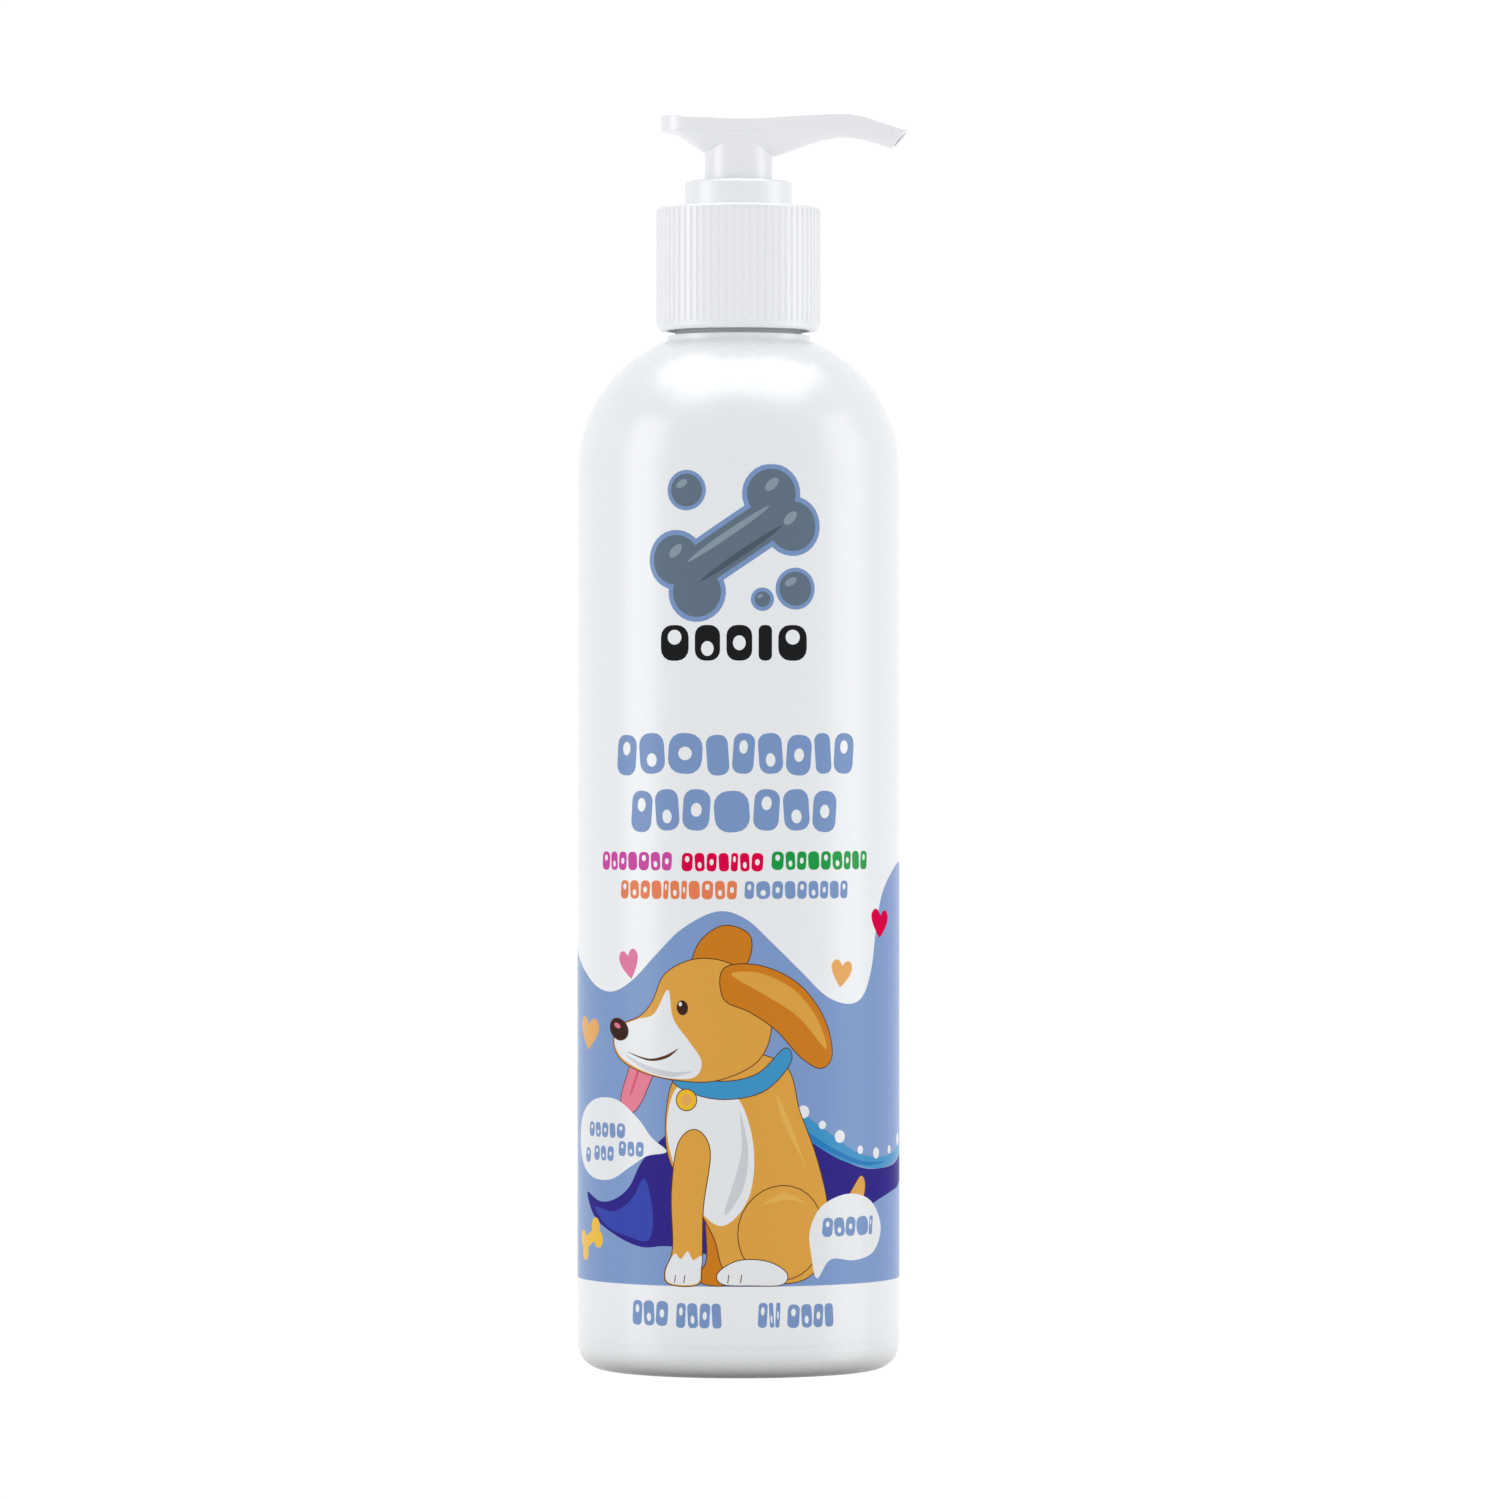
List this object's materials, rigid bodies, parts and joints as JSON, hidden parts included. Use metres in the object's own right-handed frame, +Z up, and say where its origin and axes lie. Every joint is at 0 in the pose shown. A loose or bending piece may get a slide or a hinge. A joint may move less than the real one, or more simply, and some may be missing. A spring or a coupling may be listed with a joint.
{
  "type": "shampoo bottle",
  "caption": "Slim round shampoo bottle with a sloping shoulder, a ribbed screw closure and a lotion pump with a thumb pad and a drooping spout.",
  "frame": {"origin": "on the bottle's axis, in the plane that it stands on", "axes": "+Z up the bottle's axis, +X the way the spout points at rest, the printed front faces -Y"},
  "size_m": [0.0474, 0.046, 0.1791],
  "materials": {
    "bottle_plastic": "smooth, glossy white",
    "label_film": "printed glossy film",
    "pump_plastic": "satin white",
    "inner_plastic": "natural, slightly milky",
    "piston_plastic": "soft, waxy",
    "tube_plastic": "milky, translucent",
    "gasket_foam": "soft foam",
    "spring_steel": "bright drawn wire",
    "ball_steel": "polished"
  },
  "bodies": {
    "bottle": {"bottle": "bottle_plastic", "label": "label_film"},
    "pump_body": {"housing": "inner_plastic", "lock_collar": "pump_plastic", "dip_tube": "tube_plastic", "neck_gasket": "gasket_foam", "ball_cage": "inner_plastic", "return_spring": "spring_steel"},
    "closure": {"closure": "pump_plastic"},
    "piston": {"piston": "piston_plastic"},
    "head": {"head": "pump_plastic", "stem": "inner_plastic", "piston_retainer": "inner_plastic"},
    "inlet_ball": {"inlet_ball": "ball_steel"},
    "outlet_ball": {"outlet_ball": "ball_steel"}
  },
  "joints": [
    {"name": "pump_rise", "type": "slide", "parent": "bottle", "child": "pump_body", "axis": [0, 0, 1], "range_m": [0, 0.00635]},
    {"name": "closure_turn", "type": "hinge", "parent": "pump_body", "child": "closure", "pos_m": [0, 0, 0.155], "axis": [0, 0, 1], "range_deg": [0, 720]},
    {"name": "pump_stroke", "type": "slide", "parent": "pump_body", "child": "piston", "axis": [0, 0, 1], "range_m": [0, 0.01], "stiffness_N_per_m": 600, "springref_m": 0.0185, "deforming": ["return_spring"]},
    {"name": "head_turn", "type": "hinge", "parent": "piston", "child": "head", "pos_m": [0, 0, 0.165], "axis": [0, 0, 1], "continuous": true},
    {"name": "inlet_ball_lift", "type": "slide", "parent": "pump_body", "child": "inlet_ball", "axis": [0, 0, 1], "range_m": [0, 0.001]},
    {"name": "outlet_ball_lift", "type": "slide", "parent": "head", "child": "outlet_ball", "axis": [0, 0, 1], "range_m": [0, 0.001]}
  ],
  "couplings": [
    {"joint": "closure_turn", "follows": "pump_rise", "rad_per_m": 1979}
  ]
}
